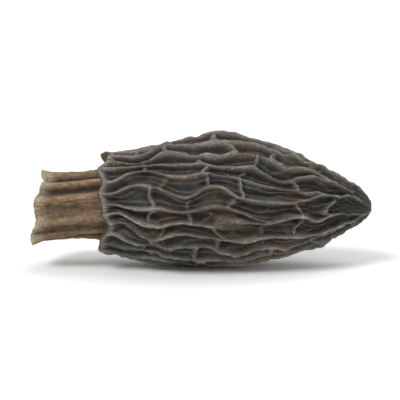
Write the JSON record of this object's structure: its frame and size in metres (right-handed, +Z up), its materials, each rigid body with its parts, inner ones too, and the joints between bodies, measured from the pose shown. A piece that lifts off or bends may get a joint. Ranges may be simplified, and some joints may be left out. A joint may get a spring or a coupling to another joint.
{
  "type": "dried morel mushroom",
  "caption": "Dried morel lying on its side: a dark conical cap of long wavy ridges and sunk pits, hollow inside, on a short pleated stem stub that is cut open at its end.",
  "frame": {"origin": "under the middle of the mushroom's box, on the surface that it lies on", "axes": "+X along the mushroom from the cut end of the stem to the tip of the cap, +Z up as it lies"},
  "size_m": [0.0408, 0.0186, 0.0159],
  "materials": {
    "dried_morel_flesh": "matte"
  },
  "bodies": {
    "root": {"dried_morel": "dried_morel_flesh"}
  },
  "joints": []
}
